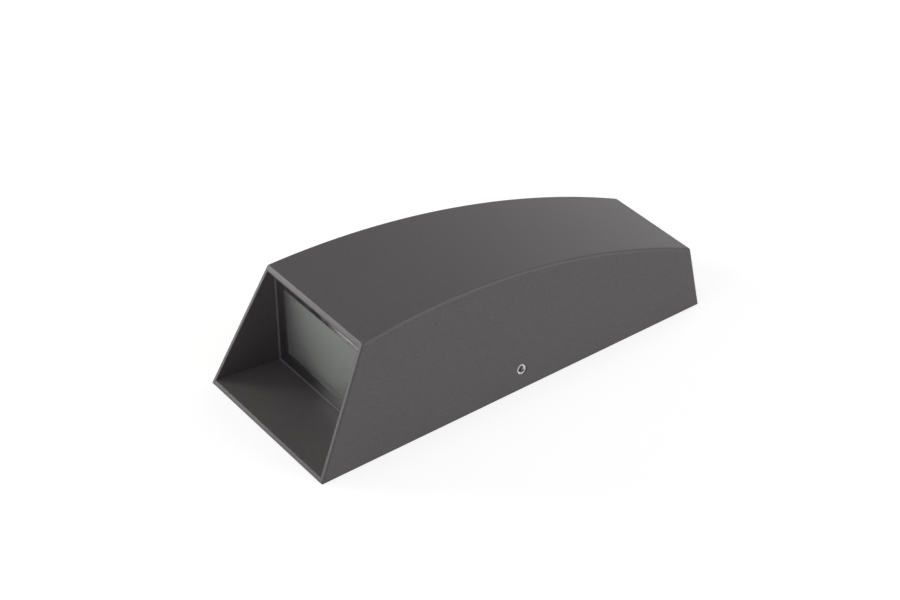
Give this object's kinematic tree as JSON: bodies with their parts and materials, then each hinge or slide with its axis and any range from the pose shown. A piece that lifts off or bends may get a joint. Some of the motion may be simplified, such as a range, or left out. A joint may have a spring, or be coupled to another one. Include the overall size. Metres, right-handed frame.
{
  "type": "outdoor wall light",
  "caption": "Outdoor wall downlight: arched, tapered metal housing with a slanted open mouth and a recessed frosted window, on a wall bracket held by grub screws.",
  "frame": {"origin": "middle of the mounting face, below the centre of the light's length and width", "axes": "+X along the length from the open mouth to the narrow closed end, +Z away from the wall, +Y across; mounted on a wall, -X points down"},
  "size_m": [0.25, 0.1188, 0.0678],
  "materials": {
    "powder_coat": "fine-textured anthracite powder coat",
    "dark_anodised": "dark anodised, satin",
    "frosted_glass": "acid-etched, greenish edge",
    "silicone": "matte silicone",
    "steel": "plain steel",
    "zinc_steel": "zinc-plated sheet",
    "white_moulding": "white reflective moulding",
    "board_mask": "white solder mask on aluminium",
    "emitter": "yellow phosphor",
    "bare_aluminium": "mill finish",
    "driver_moulding": "pale grey moulding",
    "terminal_moulding": "natural polyamide",
    "lead_red": "insulation",
    "lead_black": "insulation",
    "lead_brown": "insulation",
    "lead_blue": "insulation",
    "lead_earth": "green and yellow insulation",
    "tinned_brass": "tinned",
    "foam_rubber": "closed-cell foam rubber",
    "black_rubber": "moulded rubber"
  },
  "bodies": {
    "wall_mount": {"wall_bracket": "zinc_steel", "wall_mat": "foam_rubber", "cable_grommet": "black_rubber", "bracket_earth_washer": "steel", "bracket_earth_screw": "steel"},
    "lamp": {"housing": "powder_coat", "glass_frame": "dark_anodised", "window_glass": "frosted_glass", "glass_gasket": "silicone", "frame_screws": "steel", "frame_seal": "silicone", "reflector": "white_moulding", "light_board": "board_mask", "light_emitters": "emitter", "board_screws": "steel", "heat_plate": "bare_aluminium", "heat_plate_screws": "steel", "driver_case": "driver_moulding", "driver_lid": "driver_moulding", "driver_screws": "steel", "terminal_block": "terminal_moulding", "terminal_clamp_screws": "steel", "terminal_mount_screw": "steel", "light_lead_positive": "lead_red", "light_lead_negative": "lead_black", "supply_lead_live": "lead_brown", "supply_lead_neutral": "lead_blue", "earth_tag": "tinned_brass", "earth_lead": "lead_earth", "earth_washer": "steel", "earth_screw": "steel"},
    "grub_right": {"grub_screw_right": "steel"},
    "grub_left": {"grub_screw_left": "steel"}
  },
  "joints": [
    {"name": "housing_lift_off", "type": "slide", "parent": "wall_mount", "child": "lamp", "axis": [0, 0, 1], "range_m": [0, 0.06]},
    {"name": "grub_right_travel", "type": "slide", "parent": "lamp", "child": "grub_right", "axis": [-0.0821, 0.9911, -0.1045], "range_m": [-0.004, 0.0025]},
    {"name": "grub_left_travel", "type": "slide", "parent": "lamp", "child": "grub_left", "axis": [-0.0821, -0.9911, -0.1045], "range_m": [-0.004, 0.0025]}
  ]
}
